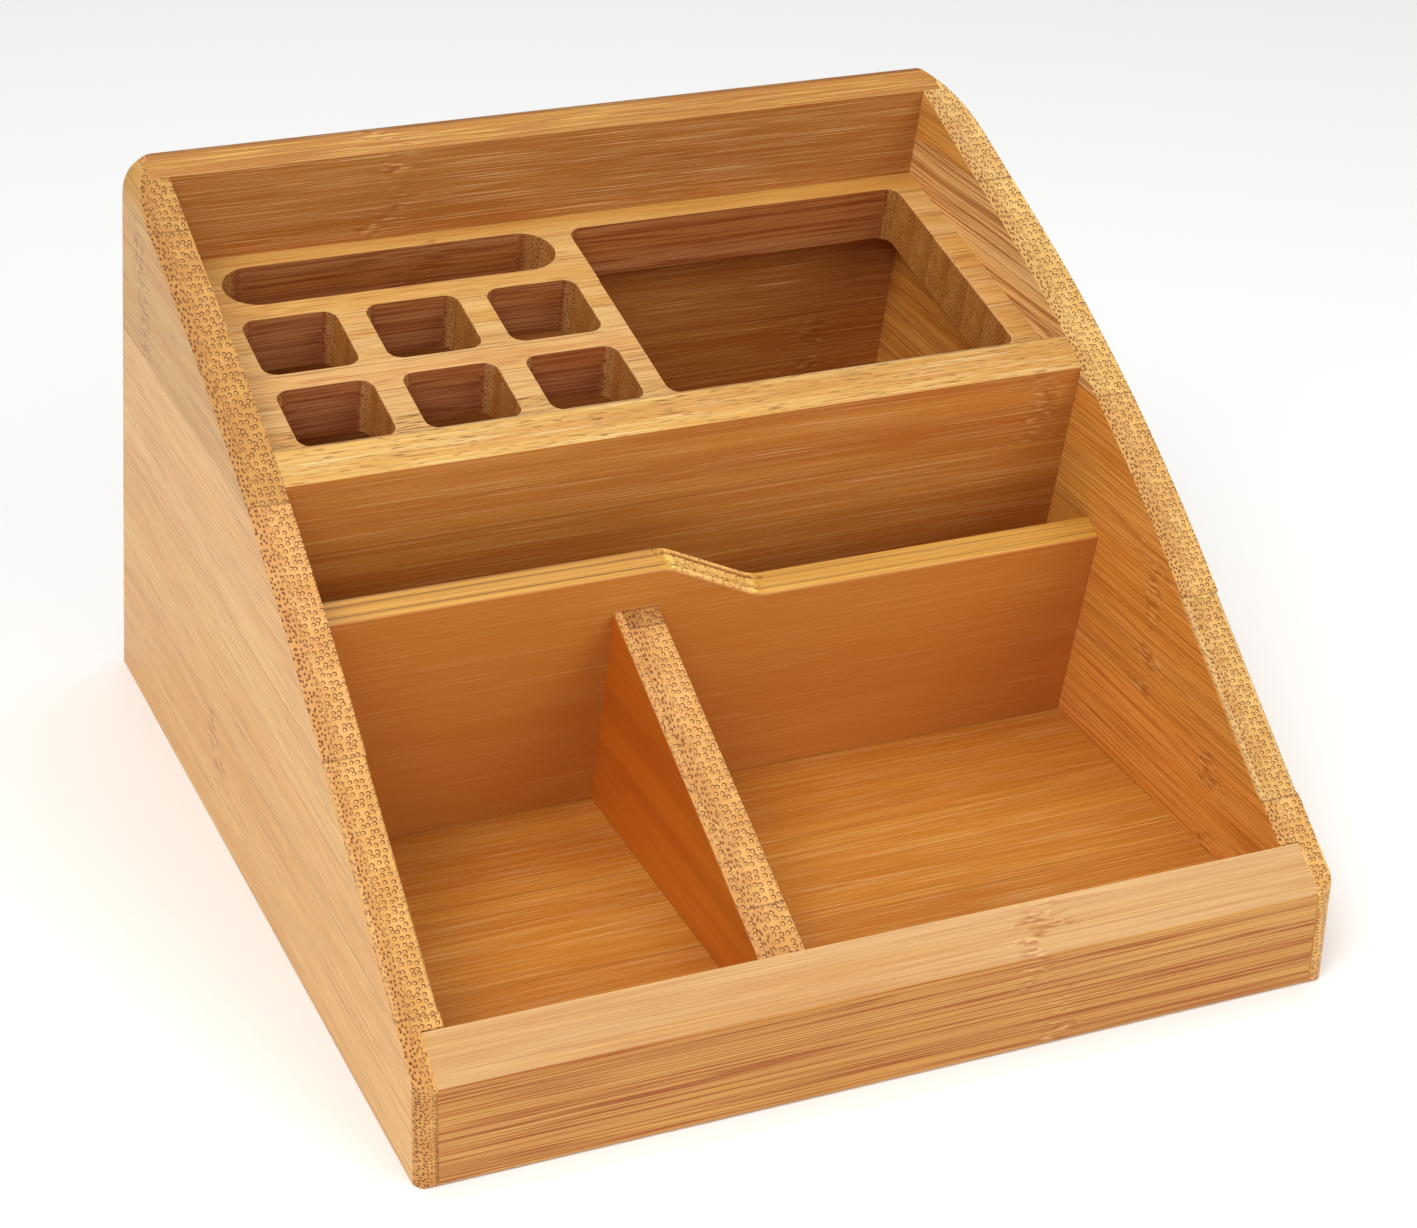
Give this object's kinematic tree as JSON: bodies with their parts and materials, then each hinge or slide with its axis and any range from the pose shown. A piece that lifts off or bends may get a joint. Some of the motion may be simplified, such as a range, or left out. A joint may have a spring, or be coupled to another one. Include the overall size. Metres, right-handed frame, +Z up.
{
  "type": "desk organiser",
  "caption": "Sloping glued bamboo desk organiser with a leaning tray of pen holes, a card pocket behind a stepped partition and open bins in front.",
  "frame": {"origin": "centre of the base, on the surface that it stands on", "axes": "+Z up, the low front faces -Y, +X to the right seen from the front"},
  "size_m": [0.18, 0.2055, 0.1252],
  "materials": {
    "side_bamboo": "satin clear lacquer over bamboo",
    "back_bamboo": "satin clear lacquer over bamboo",
    "floor_bamboo": "satin clear lacquer over bamboo",
    "rail_bamboo": "satin clear lacquer over bamboo",
    "partition_bamboo": "satin clear lacquer over bamboo",
    "divider_bamboo": "satin clear lacquer over bamboo",
    "tray_bamboo": "satin clear lacquer over bamboo"
  },
  "bodies": {
    "root": {"left_side_stave_1": "side_bamboo", "left_side_stave_2": "side_bamboo", "left_side_stave_3": "side_bamboo", "left_side_stave_4": "side_bamboo", "left_side_stave_5": "side_bamboo", "right_side_stave_1": "side_bamboo", "right_side_stave_2": "side_bamboo", "right_side_stave_3": "side_bamboo", "right_side_stave_4": "side_bamboo", "right_side_stave_5": "side_bamboo", "back_stave_1": "back_bamboo", "back_stave_2": "back_bamboo", "back_stave_3": "back_bamboo", "back_stave_4": "back_bamboo", "back_stave_5": "back_bamboo", "floor_stave_1": "floor_bamboo", "floor_stave_2": "floor_bamboo", "floor_stave_3": "floor_bamboo", "floor_stave_4": "floor_bamboo", "floor_stave_5": "floor_bamboo", "floor_stave_6": "floor_bamboo", "floor_stave_7": "floor_bamboo", "front_rail": "rail_bamboo", "upper_partition_stave_1": "partition_bamboo", "upper_partition_stave_2": "partition_bamboo", "upper_partition_stave_3": "partition_bamboo", "upper_partition_stave_4": "partition_bamboo", "mid_partition_front_ply": "partition_bamboo", "mid_partition_core_ply": "partition_bamboo", "mid_partition_rear_ply": "partition_bamboo", "divider_stave_1": "divider_bamboo", "divider_stave_2": "divider_bamboo", "divider_stave_3": "divider_bamboo", "divider_face_layer": "divider_bamboo", "tray_strip_1": "tray_bamboo", "tray_strip_2": "tray_bamboo", "tray_strip_3": "tray_bamboo", "tray_strip_4": "tray_bamboo", "tray_strip_5": "tray_bamboo", "tray_strip_6": "tray_bamboo", "tray_strip_7": "tray_bamboo", "tray_strip_8": "tray_bamboo", "tray_strip_9": "tray_bamboo"}
  },
  "joints": []
}
